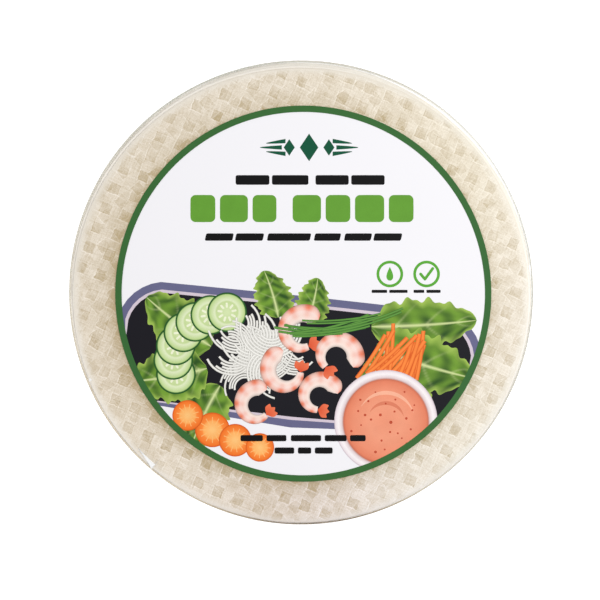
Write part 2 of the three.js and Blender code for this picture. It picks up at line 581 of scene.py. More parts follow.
def sheet_pile_tree():
    """Geometry Nodes: a pile of thin discs, one pitch apart, with slides, turns and uneven edges."""
    inputs = {
        "Sheets": "Int", "Pitch": "Float", "First Level": "Float", "Radius": "Float", "Thickness": "Float",
        "Half Height": "Float", "Most Slide": "Float", "Slide From": "Float", "Slide To": "Float",
        "Settle": "Vector", "Base Settle": "Vector", "Seed": "Int", "Finish": "Material",
    }
    tree, w, given, result = new_tree("sheet_pile", "GeometryNodeTree", inputs, {"Mesh": "Geometry"})
    place = w.wire("GeometryNodeInputPosition")
    _, _, z = w.split(place)

    # Where each sheet's middle lies: it slides furthest half way up, where the film bulges most.
    line = w.wire(
        "GeometryNodeMeshLine",
        Count=given["Sheets"],
        Start_Location=w.join(0.0, 0.0, given["First Level"]),
        Offset=w.join(0.0, 0.0, given["Pitch"]),
    )
    rise = (z - given["Half Height"]) / given["Half Height"]
    from_middle = w.math("MINIMUM", w.math("ABSOLUTE", rise), 1.0) ** side_squareness
    full = (1.0 - from_middle) ** (1.0 / side_squareness)
    share = w.math("FRACT", w.wire("GeometryNodeInputIndex") * golden_share + first_share)
    way = share * (given["Slide To"] - given["Slide From"]) + given["Slide From"]
    far = w.math("MINIMUM", given["Most Slide"], full * side_room - side_gap)
    far = far * between(w, 0.86, 1.0, given["Seed"] + 1)
    slide = w.join(w.math("COSINE", way), w.math("SINE", way)) * far
    above = w.math("GREATER_THAN", rise, 0.0)
    settle = (given["Settle"] * above + given["Base Settle"] * (1.0 - above)) * (1.0 - full)
    placed = w.wire("GeometryNodeSetPosition", Geometry=line, Offset=slide + settle)

    # The sheet itself: its rings crowd towards the rim, where the upper face falls to a thin edge.
    disc = w.wire(
        "GeometryNodeMeshCylinder",
        fill_type="TRIANGLE_FAN",
        Vertices=300,
        Side_Segments=1,
        Fill_Segments=6,
        Radius=given["Radius"],
        Depth=given["Thickness"],
    )
    flat = place * (1.0, 1.0, 0.0)
    out = w.vector("LENGTH", flat) / given["Radius"]
    from_rim = w.math("MAXIMUM", 1.0 - out, 0.0) ** 3.0
    crowd = (1.0 - from_rim) / w.math("MAXIMUM", out, 0.01)
    fall = w.math("EXPONENT", from_rim * given["Radius"] / -rim_reach)
    upper_fall = fall * w.math("GREATER_THAN", z, 0.0) * rim_drop
    crowded = flat * crowd + w.join(0.0, 0.0, z - upper_fall)
    shaped = w.wire("GeometryNodeSetPosition", Geometry=disc, Position=crowded)
    turn = w.join(0.0, 0.0, between(w, 0.0, 2.0 * math.pi, given["Seed"] + 2))
    copies = w.wire("GeometryNodeInstanceOnPoints", Points=placed, Instance=shaped, Rotation=turn)
    realized = w.wire("GeometryNodeRealizeInstances", copies)

    # Uneven edges and a slight buckle, both fading out towards the middle.
    push = w.noise(place * (1.0, 1.0, 40.0), 60.0, 3.0) * out ** 8.0
    bumpy = w.vector("NORMALIZE", flat) * (push * rough_rim) + w.join(0.0, 0.0, push * rough_lift)
    uneven = w.wire("GeometryNodeSetPosition", Geometry=realized, Offset=bumpy)
    w.feed(result["Mesh"], w.wire("GeometryNodeSetMaterial", Geometry=uneven, Material=given["Finish"]))
    return tree


def grown(name, tree, values):
    """The plain mesh object that a Geometry Nodes tree makes of some named values."""
    named = {item.name: item.identifier for item in tree.interface.items_tree if item.in_out == "INPUT"}
    holder = linked(name, bpy.data.meshes.new(name + "_seed"))
    modifier = holder.modifiers.new("grow", "NODES")
    modifier.node_group = tree
    for label, value in values.items():
        modifier[named[label]] = value
    evaluated = holder.evaluated_get(bpy.context.evaluated_depsgraph_get())
    mesh = bpy.data.meshes.new_from_object(evaluated)
    holder.modifiers.remove(modifier)
    holder.data = mesh
    mesh.name = name
    return holder


sheets_between = grown("sheets_between", sheet_pile_tree(), {
    "Sheets": sheet_count - 2,
    "Pitch": sheet_pitch,
    "First Level": pile_low + sheet_pitch + sheet_thick / 2,
    "Radius": sheet_radius,
    "Thickness": sheet_thick,
    "Half Height": half_height,
    "Most Slide": 0.00172,
    "Slide From": math.radians(118.0),
    "Slide To": math.radians(346.0),
    "Settle": (*top_slide, 0.0),
    "Base Settle": (*base_slide, 0.0),
    "Seed": 5,
    "Finish": paper_finish,
})
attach(sheets_between, "root")


# ---- The film ----------------------------------------------------------------------------------
# One bag of clear film, shrunk tight round the whole pile: flat above and below, with a bulging
# side. A heat seal runs half way up the side along the back left. Where the side is seen edge on,
# the film shows as a line, and painted shade makes that line darkest and brown at the front.
film_thick = 0.00004
seal_start = math.radians(7.5)
seal_end = math.radians(229.6)
seal_half_height = 0.00055
seal_recess = 0.00010
seal_fade = math.radians(7.0)
film_segments = 640
side_rows = 40
flat_gather = 0.04
# The film's colours where it is seen edge on. The brown and its warm see-through tinge are painted shade.
film_grey = (0.350, 0.336, 0.225, 1.0)
film_shade_brown = (0.155, 0.078, 0.014, 1.0)
film_shade_tinge = (1.0, 0.91, 0.74, 1.0)

# How dark and how brown the film's edge line is, all round the pack: painted shade, darkest and
# brownest at the front and lightest at the back right. It sets in between two fullnesses of the
# side, and in some places sooner. Each peak is (height, heading in degrees, width in degrees).
side_gather = 0.39
gather_shade_peaks = (
    (0.80, 272.0, 19.0), (0.12, 118.0, 26.0), (0.06, 345.0, 25.0), (-0.10, 205.0, 38.0), (-0.19, 40.0, 26.0),
)
side_shade_brown = 0.18
shade_brown_peaks = ((1.0, 272.0, 26.0), (0.35, 215.0, 30.0), (-0.18, 110.0, 30.0), (-0.18, 20.0, 40.0))
gather_between = (0.40, 0.85)
sooner_peaks = ((0.42, 90.0, 26.0),)


def see_through(w, shader, share, tinge):
    """Ends the finish of a clear piece: a share of what is seen is its own, the rest comes through."""
    clear = w.wire("ShaderNodeBsdfTransparent", Color=tinge)
    mixed = w.wire("ShaderNodeMixShader", share, clear, Wire(w, shader.outputs[0]))
    w.feed(w.nodes["Material Output"].inputs["Surface"], mixed)


def clear_film():
    """Thin clear plastic: see-through face on, and deeper and glossy where it is seen edge on. How much
    deeper and how brown it is at each place is painted shade, kept on the mesh."""
    film, w, shader = new_finish("clear_film", Roughness=0.2, IOR=1.5, Specular_IOR_Level=0.12)
    gather_shade, brown, _ = w.split(w.wire("ShaderNodeAttribute", out="Vector", attribute_name="gather_and_shade"))
    w.feed(shader.inputs["Base Color"], w.mix(brown, film_grey, film_shade_brown))
    steep = w.wire("ShaderNodeLayerWeight", out="Facing", Blend=0.5) ** 1.7
    share = w.math("MINIMUM", steep * gather_shade + 0.02, 0.95)
    tinge = w.mix(w.math("MULTIPLY", steep, brown, use_clamp=True), white, film_shade_tinge)
    see_through(w, shader, share, tinge)
    return film


def fullness(z):
    """How full the side is at a height: 0 at the rim of a flat face, 1 at the belly."""
    from_middle = np.minimum(1.0, np.abs(z - half_height) / half_height)
    return (1.0 - from_middle ** side_squareness) ** (1.0 / side_squareness)


def side_radius(z):
    """Reach of the plain side at a height."""
    return rim_radius + (film_radius - rim_radius) * fullness(z)


def beside_seal(z):
    """How far the film lies back at a height, above and below the seal."""
    return seal_recess * step(np.abs(z - half_height), seal_half_height * 0.4, seal_half_height)


def bumps(angle, peaks):
    """Smooth bumps round the pack, added up."""
    high, at, wide = np.array(peaks).T[..., None]
    away = (np.degrees(angle) - at + 180.0) % 360.0 - 180.0
    return (high * np.exp(-((away / wide) ** 2))).sum(axis=0)


angle = all_round(film_segments)
along_seal = step(angle, seal_start, seal_start + seal_fade)
along_seal *= 1.0 - step(angle, seal_end - seal_fade, seal_end)
# Painted shade of the film's edge line by heading: how dark it is and how brown.
gather_shade = side_gather + bumps(angle, gather_shade_peaks)
painted_browning = np.clip(side_shade_brown + bumps(angle, shade_brown_peaks), 0.0, 1.0)
sooner = bumps(angle, sooner_peaks)
flat_radii = np.append(np.linspace(0.02, 0.104, 11), rim_radius - np.array([0.0020, 0.0008, 0.0003]))
turns = np.linspace(-math.pi / 2, math.pi / 2, side_rows + 1)
levels = half_height * (1.0 + np.sign(turns) * np.abs(np.sin(turns)) ** (2.0 / side_squareness))
seal_levels = half_height + seal_half_height * np.array([-1.0, -0.7, -0.4, 0.4, 0.7, 1.0])
profile = [(radius, 0.0) for radius in flat_radii]
profile += [(side_radius(z), z) for z in np.sort(np.concatenate([levels, seal_levels]))]
profile += [(radius, 2.0 * half_height) for radius in flat_radii[::-1]]
film_rings, gathers_and_shade = [], []
for radius, z in profile:
    full = fullness(z)
    slide = np.array(top_slide if z > half_height else base_slide)
    reach = radius - beside_seal(z) * along_seal * full
    film_rings.append(raised(reach[:, None] * towards(angle) + slide * (1.0 - full), z))
    on_side = step(full, gather_between[0] - sooner, gather_between[1] - sooner)
    gathers_and_shade.append(np.column_stack([flat_gather + gather_shade * on_side, painted_browning, np.zeros(film_segments)]))
film_mesh = skin_of_rings("film", film_rings, (*base_slide, 0.0), (*top_slide, 2.0 * half_height))
gathers_and_shade = np.concatenate([*gathers_and_shade, np.zeros((2, 3))])
film_mesh.attributes.new("gather_and_shade", "FLOAT_VECTOR", "POINT").data.foreach_set("vector", gathers_and_shade.ravel())
film_mesh.materials.append(clear_film())
film = linked("film", film_mesh)
wall = film.modifiers.new("film_wall", "SOLIDIFY")
wall.thickness = film_thick
wall.offset = -1.0
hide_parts("wrapped_stack")
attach(film, "root")


# ---- The film's seal ---------------------------------------------------------------------------
# The band where the two halves of the film are welded together, half way up the side: doubled film
# with the fine upright crimps of the sealing bar.
seal_band = 0.0016
seal_off = 0.00003
crimp_pitch = 0.0011
crimp_depth = 0.00002
seal_milkiness = 0.15


def creased_film():
    """Doubled or creased film: whitish, shiny and a little streaky, as each place's own share says.
    On the folds the white is partly a painted glint.
    """
    film, w, shader = new_finish("creased_film", Base_Color=white, Roughness=0.2, IOR=1.5)
    place = w.wire("ShaderNodeTexCoord", out="Object")
    milk_and_glint = w.wire("ShaderNodeAttribute", out="Fac", attribute_name="milk_and_glint")
    streaks = w.noise(place * (1.0, 1.0, 0.3), 1500.0, 2.0) * 0.8 + 1.0
    see_through(w, shader, w.math("MINIMUM", milk_and_glint * streaks, 1.0), white)
    return film


def film_piece(name, patches):
    """A piece of doubled film on the pack, made of open patches: each is its rows and columns of
    places, and how white the film is there, which on the folds is partly a painted glint."""
    points, faces, milk_and_glint = [], [], []
    for places, share in patches:
        rows, columns = places.shape[:2]
        faces += (grid_faces(rows, columns) + len(points)).tolist()
        points += places.reshape(-1, 3).tolist()
        milk_and_glint += np.broadcast_to(share, (rows, columns)).ravel().tolist()
    mesh = bpy.data.meshes.new(name)
    mesh.from_pydata(points, [], faces)
    mesh.shade_smooth()
    mesh.attributes.new("milk_and_glint", "FLOAT", "POINT").data.foreach_set("value", milk_and_glint)
    mesh.materials.append(crease_finish)
    piece = linked(name, mesh)
    skin = piece.modifiers.new("skin", "SOLIDIFY")
    skin.thickness = film_thick / 2
    skin.offset = 1.0
    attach(piece, "root")


crease_finish = creased_film()
seal_heading = np.linspace(seal_start + 0.02, seal_end - 0.01, 2400)[:, None]
seal_rise = np.linspace(-seal_band, seal_band, 9)
seal_level = half_height + seal_rise
crimps = crimp_depth * np.sin(seal_heading * film_radius * 2.0 * math.pi / crimp_pitch)
seal_reach = side_radius(seal_level) - beside_seal(seal_level) - seal_off
seal_reach = seal_reach + crimps * step(seal_band - np.abs(seal_rise), 0.0, 0.0003)
seal_places = raised(seal_reach[..., None] * towards(seal_heading), seal_level)
film_piece("film_seal", [(seal_places, seal_milkiness)])


# ---- The film's folds --------------------------------------------------------------------------
# Spare film at the two ends of the seal, folded over itself into small white ears that lie on the
# rim, with a few short creases beside them and one that runs in over the top, and one tiny ear at
# the left. Their white is partly doubled film and partly a painted glint.
fold_lift = 0.00005
ear_stands = 0.75
ear_puff = 0.00008
crease_off = 0.00001


def over_film(heading, radius, lift):
    """Places just above the film at some headings and distances from the pack's middle."""
    heading, radius, lift = np.broadcast_arrays(heading, radius, lift)
    rim = rim_radius + towards(heading) @ np.array(top_slide)
    full = np.clip((radius - rim) / (film_radius - rim), 0.0, 0.999)
    height = half_height * (1.0 + (1.0 - full ** side_squareness) ** (1.0 / side_squareness))
    return raised(towards(heading) * radius[..., None], height + lift)


def ear(start, end, near, far, tail):
    """A folded ear from its fold at one heading to its tip at another, in degrees: near and far are
    its reach from the pack's middle at the fold, and tail its reach at the tip."""
    along = np.linspace(0.0, 1.0, 30)[:, None]
    across = np.linspace(0.0, 1.0, 9)
    inner = near + (tail - near) * along
    outer = far + (tail + 0.0002 - far) * along ** 0.6
    puff = ear_puff * np.sin(math.pi * across) * (1.0 - along)
    heading = np.radians(start + (end - start) * along)
    places = over_film(heading, inner + (outer - inner) * across, fold_lift + puff)
    places[..., 2] += ear_stands * (2.0 * half_height - places[..., 2])
    return places, 1.0 - 0.75 * along ** 4


def crease(heading, near, far, skew, wide, milk_and_glint):
    """A thin raised crease between two distances from the pack's middle; skew turns its far end."""
    along = np.linspace(0.0, 1.0, 16)[:, None]
    across = np.linspace(-1.0, 1.0, 5)
    radius = near + (far - near) * along
    thin = wide * np.sin(math.pi * np.clip(along, 0.04, 0.96)) ** 0.6
    turn = np.radians(heading + skew * along) + across * thin / 2 / radius
    return over_film(turn, radius, fold_lift * (1.0 - across ** 2) + crease_off), milk_and_glint


film_piece("film_folds", [
    ear(229.75, 223.6, 0.1093, 0.11248, 0.1091),
    ear(6.8, 3.6, 0.1110, 0.1121, 0.1112),
    crease(229.7, 0.1055, 0.1102, 0.0, 0.00035, 0.15),
    # A tiny ear whose white is a painted glint.
    ear(202.75, 201.9, 0.1099, 0.1115, 0.1104),
    crease(31.5, 0.1105, 0.1115, -0.8, 0.0003, 0.5),
    crease(30.3, 0.1108, 0.1118, 0.9, 0.0003, 0.5),
    crease(28.2, 0.1104, 0.1117, -0.6, 0.0003, 0.5),
    crease(11.0, 0.1106, 0.1119, 1.2, 0.0003, 0.5),
])


# ---- The label's paper -------------------------------------------------------------------------
# A die-cut round of smooth white paper, stuck on the film a little off the pack's centre. Every
# print on it is a field of ink of its own thickness, so that what is printed later lies on top.
label_size = 300
paper_top = label_low.z + 0.00006
ink_step = 0.0000025
paper_white = (0.905, 0.893, 0.925)


def tint(red, green, blue):
    """A colour named as it is seen, 0 to 255 a channel, as amounts of light."""
    shares = (red / 255, green / 255, blue / 255)
    return tuple(((c + 0.055) / 1.055) ** 2.4 if c > 0.04045 else c / 12.92 for c in shares)


def blend(first, second, share):
    """Colours between two, one for each share."""
    share = np.asarray(share)[..., None]
    return np.asarray(first) * (1.0 - share) + np.asarray(second) * share


def label_white():
    """Coated white paper with the faintest mottle."""
    paper, w, shader = new_finish("label_white", Roughness=0.5, Specular_IOR_Level=0.25)
    place = w.wire("ShaderNodeTexCoord", out="Object")
    mottle = w.noise(place, 2600.0, 3.0) * 0.010 + w.noise(place, 25.0, 1.0) * 0.012 + 1.0
    w.feed(shader.inputs["Base Color"], w.vector("SCALE", paper_white, mottle))
    return paper


label_mesh = skin_of_rings(
    "label_paper",
    [
        raised(radius * towards(all_round(label_size)) + label_centre.xy, z)
        for radius, z in (
            (label_radius - 0.0003, label_low.z),
            (label_radius - 0.00003, label_low.z),
            (label_radius, label_low.z + 0.00002),
            (label_radius, paper_top - 0.00002),
            (label_radius - 0.00002, paper_top),
            (label_radius - 0.0003, paper_top),
        )
    ],
    (*label_centre.xy, label_low.z),
    (*label_centre.xy, paper_top),
)
label_mesh.materials.append(label_white())
label_paper = linked("label_paper", label_mesh)
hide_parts("label")
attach(label_paper, "root")


# ---- The label's border ------------------------------------------------------------------------
# A band of dark green offset ink round the edge of the label. It is printed last, over all that
# the picture has there, and runs out to where the label is cut.
border_wide = 3.1
border_level = 54
border_ink = tint(57, 105, 54)
print_margin = 1.5
ink_foot = 0.3


def print_ink():
    """Offset ink on coated paper: its colour is the field's own, with a fine dot and a faint cloud."""
    printed, w, shader = new_finish("print_ink", Roughness=0.4, Specular_IOR_Level=0.1)
    place = w.wire("ShaderNodeTexCoord", out="Object")
    ink = w.wire("ShaderNodeAttribute", out="Color", attribute_name="ink")
    shade = w.noise(place, 3200.0, 1.0) * 0.22 + w.noise(place, 160.0, 3.0) * 0.16 + 1.0
    w.feed(shader.inputs["Base Color"], ink * shade)
    return printed


def axes(heading):
    """The unit vectors along a heading and to its left."""
    return towards(heading), towards(heading + math.pi / 2)


class Printing:
    """Fields of ink gathered into one piece. Places are millimetres from the label's middle, right
    and up; a level counts how many inks lie below. The margin at the label's edge stays free."""

    def __init__(self, name, margin=print_margin):
        self.name = name
        self.reach = label_radius * 1000 - margin
        self.points, self.faces, self.inks = [], [], []

    def field(self, places, inks, level=2, closed=False):
        """A field of rows of places. Closed rows are rings, from its outline to a small inner one."""
        rows, columns = places.shape[:2]
        size = rows * columns
        index = np.arange(size).reshape(rows, columns)
        faces = grid_faces(rows, columns, closed).tolist()
        if closed:
            edge = index[0]
            faces += [index[-1].tolist(), (size + edge[::-1]).tolist()]
        else:
            edge = np.concatenate([index[0], index[1:, -1], index[-1, -2::-1], index[-2:0:-1, 0]])
            faces += [[size + k for k in (a, d, c, b)] for a, b, c, d in faces]
        ahead = np.roll(edge, -1)
        faces += np.column_stack([ahead, edge, size + edge, size + ahead]).tolist()
        self.faces += [[len(self.points) + k for k in face] for face in faces]
        flat = places.reshape(-1, 2)
        far = np.maximum(np.hypot(*flat.T), 1e-9)
        flat = flat * np.minimum(1.0, self.reach / far)[:, None] / 1000.0 + label_centre.xy
        for high in (level, ink_foot):
            self.points += raised(flat, paper_top + high * ink_step).tolist()
            self.inks.append(np.broadcast_to(inks, (rows, columns, 3)).reshape(size, 3))

    def patch(self, outline, at, ink, level=2):
        """A plain field inside an outline, at a place."""
        self.field(np.array([outline * share + at for share in (1.0, 0.5)]), ink, level, closed=True)

    def disc(self, at, radius, rings, level, columns=64):
        """A round field of rings, from the rim in: each is (share of the radius, colour)."""
        places = np.array([share * radius * towards(all_round(columns)) + at for share, _ in rings])
        self.field(places, np.array([colour for _, colour in rings])[:, None], level, closed=True)

    def ring(self, at, radii, ink, level=2, columns=73):
        """A plain round band through some radii."""
        ways = towards(np.linspace(0.0, 2.0 * math.pi, columns))[:, None]
        self.field(ways * np.array(radii)[:, None] + at, ink, level)

    def stroke(self, middle, aside, thick, ink, level=2):
        """A plain line along some places, as thick on both sides as is given for each."""
        places = [middle + side * thick * np.array(aside) for side in (-1.0, 0.0, 1.0)]
        self.field(np.stack(places, axis=1), ink, level)

    def block(self, at, size, corner, ink, level=2, slant=0.0, turn=0.0):
        """A plain bar or block with rounded corners."""
        ways = towards(all_round(32))
        x, y = (np.sign(np.round(ways, 9)) * (np.array(size) / 2 - corner) + corner * ways).T[..., None]
        ahead, aside = axes(turn)
        self.patch((x + slant * y) * ahead + y * aside, at, ink, level)

    def bars(self, rise, thick, corner, ink, spans, level=2, slant=0.0):
        """A line of bars at one height, each from its start to its end."""
        for start, end in spans:
            self.block(((start + end) / 2, rise), (end - start, thick), corner, ink, level, slant)

    def done(self):
        """Makes the printed piece, an object on the pack."""
        mesh = bpy.data.meshes.new(self.name)
        mesh.from_pydata(self.points, [], self.faces)
        inks = np.column_stack([np.concatenate(self.inks), np.ones(len(self.points))])
        mesh.attributes.new("ink", "FLOAT_COLOR", "POINT").data.foreach_set("color", inks.ravel())
        whole = bmesh.new()
        whole.from_mesh(mesh)
        bmesh.ops.recalc_face_normals(whole, faces=whole.faces)
        whole.to_mesh(mesh)
        whole.free()
        mesh.materials.append(ink_finish)
        piece = linked(self.name, mesh)
        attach(piece, "root")


ink_finish = print_ink()
border = Printing("label_border", margin=0.0)
border_radii = np.linspace(border.reach - border_wide, border.reach, 3)
border.ring((0.0, 0.0), border_radii, border_ink, border_level, columns=361)
border.done()


# ---- The label's ornament ----------------------------------------------------------------------
# A printer's ornament at the head of the label: lozenges between tapering bars, in deep green ink
# that lies straight on the white paper.
ornament_ink = tint(15, 84, 58)
ornament_x, ornament_y = 2.8, 70.8
ornament = Printing("label_ornament")
for shift, width, height in ((0.0, 9.0, 13.4), (-9.6, 5.4, 8.0), (9.6, 5.4, 8.0)):
    tips = np.array([(width, 0.0), (0.0, height), (-width, 0.0), (0.0, -height), (width, 0.0)]) / 2
    sides = [np.linspace(tips[i], tips[i + 1], 8, endpoint=False) for i in range(4)]
    ornament.patch(np.concatenate(sides), (ornament_x + shift, ornament_y), ornament_ink)
along = np.linspace(0.0, 1.0, 12)[:, None]
thick = 0.95 * (1.0 - along) ** 0.7 + 0.12
for side in (-1.0, 1.0):
    for rise, near, length in ((0.0, 13.2, 10.6), (3.1, 11.4, 9.4), (-3.1, 11.4, 9.4)):
        x = ornament_x + side * (near + length * along)
        y = ornament_y + rise * (1.0 - 0.35 * along)
        ornament.stroke(np.hstack([x, y]), (0.0, 1.0), thick, ornament_ink)
ornament.done()


# ---- The label's wording -----------------------------------------------------------------------
# Where a pack has its words there are plain blocks and bars of ink on the white paper, in black and
# in a fresh green. Each line of them is (height above the middle, thickness, corner, slant, ink,
# starts and ends of its bars).
word_black = tint(9, 8, 10)
word_green = tint(101, 158, 54)
wording = Printing("label_wording")
for rise, thick, corner, slant, ink, spans in (
    (55.05, 4.7, 1.0, 0.0, word_black, ((-32.8, -16.4), (-15.2, 2.5), (5.9, 22.0), (23.2, 39.4))),
    (41.2, 13.2, 2.6, 0.0, word_green, (
        (-54.7, -42.6), (-40.4, -26.8), (-24.6, -13.0),
        (-5.2, 8.6), (10.8, 22.8), (25.0, 39.2), (41.4, 53.4),
    )),
    (27.4, 3.6, 0.8, 0.22, word_black, (
        (-47.4, -34.0), (-32.8, -19.3), (-17.3, 3.5), (5.4, 18.0), (20.0, 33.0), (34.2, 47.6),
    )),
):
    wording.bars(rise, thick, corner, ink, spans, slant=slant)
wording.done()


# ---- The label's round marks -------------------------------------------------------------------
# Two rings of green ink at the right, one with a drop in it and one with a tick, each over a small
# caption of two black bars. The tick is two strokes, the long one printed over the short one.
mark_ink = tint(92, 169, 57)
mark_height = 9.5
drop_mark_x, tick_mark_x = 41.9, 59.7
mark_radii = (5.1, 6.45)
marks = Printing("label_marks")
for x in (drop_mark_x, tick_mark_x):
    marks.ring((x, mark_height), mark_radii, mark_ink)
turn = all_round(40)
drop_outline = np.column_stack([2.3 * np.sin(turn) * np.sin(turn / 2) ** 1.4, 3.4 * np.cos(turn) + 1.0])
marks.patch(drop_outline, (drop_mark_x, mark_height - 0.8), mark_ink)
tick = np.array([(-2.9, 0.0), (-0.8, -2.5), (3.0, 2.7)]) + (tick_mark_x, mark_height)
for level, start, end in ((2, tick[0], tick[1]), (3, tick[1], tick[2])):
    across, up = end - start
    size = (math.hypot(across, up) + 1.3, 1.4)
    marks.block((start + end) / 2, size, 0.69, mark_ink, level, turn=math.atan2(up, across))
marks.bars(1.1, 1.5, 0.4, word_black, ((33.1, 40.6), (41.6, 50.5), (53.4, 58.6), (59.6, 66.5)))
marks.done()


# ---- The picture's slate -----------------------------------------------------------------------
# The lower half of the label has a printed picture of fresh fillings, laid out on a black slate
# with a bevelled grey-blue edge. Each layer is (how much smaller it is, colour, level).
slate_at = (-3.0, -33.0)
slate_size = np.array([178.0, 64.0])
slate_corner = 24.0
slate_turn = math.radians(-6.0)
slate = Printing("picture_slate")
for less, colour, level in (
    (0.0, tint(104, 104, 138), 1),
    (7.4, tint(214, 200, 212), 2),
    (10.4, tint(24, 23, 30), 3),
):
    slate.block(slate_at, slate_size - less, slate_corner - less / 2, colour, level, turn=slate_turn)
slate.done()


# ---- The picture's leaves ----------------------------------------------------------------------
# Frilled lettuce leaves: broad, with a pale midrib, folds that darken between the veins and a
# rippled edge. Each leaf is (foot, heading in degrees, length, half width, level).
leaf_light = np.array(tint(176, 204, 96))
leaf_green = tint(116, 158, 54)
leaf_dark = tint(46, 82, 32)
leaf_rib = np.array(tint(214, 226, 160))
along = np.linspace(0.02, 1.0, 90)[:, None]
across = np.linspace(-1.0, 1.0, 25)
off_rib = np.abs(across)
leaves = Printing("picture_leaves")
for foot, heading, length, half_wide, level in (
    ((32.0, -16.0), 0.0, 52.0, 12.5, 4),
    ((34.0, -26.0), -22.0, 50.0, 15.0, 6),
    ((30.0, -32.0), -46.0, 46.0, 13.0, 5),
    ((-44.0, -26.0), 148.0, 40.0, 13.0, 4),
    ((-46.0, -36.0), 196.0, 38.0, 13.0, 6),
    ((-40.0, -44.0), 238.0, 34.0, 11.0, 5),
    ((-12.0, -12.0), 100.0, 24.0, 9.0, 5),
    ((2.0, -14.0), 70.0, 22.0, 8.0, 4),
):
    seed = 1.7 * level + heading
    wide = half_wide * np.sin(math.pi * along ** 0.75) ** 0.55 * np.clip(along / 0.12, 0.0, 1.0) ** 0.6
    frill = 0.09 * np.sin(34.0 * along + seed + across) + 0.06 * np.sin(61.0 * along - seed)
    bend = 0.12 * length * along ** 2 * math.sin(seed)
    beside = wide * (1.0 + across ** 2 * frill) * across + bend
    ahead, aside = axes(math.radians(heading))
    places = foot + length * along[..., None] * ahead + beside[..., None] * aside
    ripple = np.sin(23.0 * along + 6.0 * off_rib + seed) * np.sin(9.0 * along - 7.0 * across + 2.0 * seed)
    fold = 0.5 + 0.34 * np.sin(30.0 * along + 5.0 * off_rib + seed) + 0.34 * ripple
    vein = np.exp(-(np.sin(11.0 * along - 2.6 * off_rib + seed) / 0.16) ** 2)
    edge = np.clip((off_rib - 0.66) / 0.34, 0.0, 1.0) * np.clip(0.45 + fold, 0.0, 1.0)
    rib = np.exp(-(across / (0.08 * (1.15 - along))) ** 2) + 0.35 * vein * (1.0 - off_rib)
    green = blend(leaf_dark, leaf_green, np.clip(0.16 + 0.80 * fold + 0.25 * across, 0.0, 1.0))
    green += (leaf_light - green) * 0.8 * edge[..., None]
    green += (leaf_rib - green) * np.clip(rib, 0.0, 1.0)[..., None]
    leaves.field(places, green, level)
leaves.done()


# ---- The picture's cucumber --------------------------------------------------------------------
# Round slices of cucumber, each printed over the one before it in a curved row: dark skin, pale
# flesh and a ring of seeds. Its rings of ink are (share of the slice's radius, colour).
slice_radius = 9.6
slice_rings = (
    (1.00, tint(30, 74, 34)),
    (0.93, tint(48, 104, 44)),
    (0.89, tint(188, 214, 140)),
    (0.62, tint(226, 236, 196)),
    (0.54, tint(198, 218, 154)),
    (0.10, tint(214, 230, 176)),
)
seed_ink = tint(240, 244, 214)
seed_count = 9
cucumber = Printing("picture_cucumber")
for i, heading in enumerate(np.linspace(math.radians(198.0), math.radians(92.0), 7)):
    middle = (-36.0, -32.0) + towards(heading) * (27.0, 23.0)
    cucumber.disc(middle, slice_radius, slice_rings, 7 + 2 * i)
    for way in heading + all_round(seed_count):
        seed_at = middle + 0.36 * slice_radius * towards(way)
        cucumber.block(seed_at, (2.5, 1.05), 0.5, seed_ink, 8 + 2 * i, turn=way)
cucumber.done()


# ---- The picture's cut strips ------------------------------------------------------------------
# Carrot matchsticks in a loose heap, rice noodles in a curled nest and long chives: strips of one
# kind, in bundles of some that lie side by side, strewn about a place.


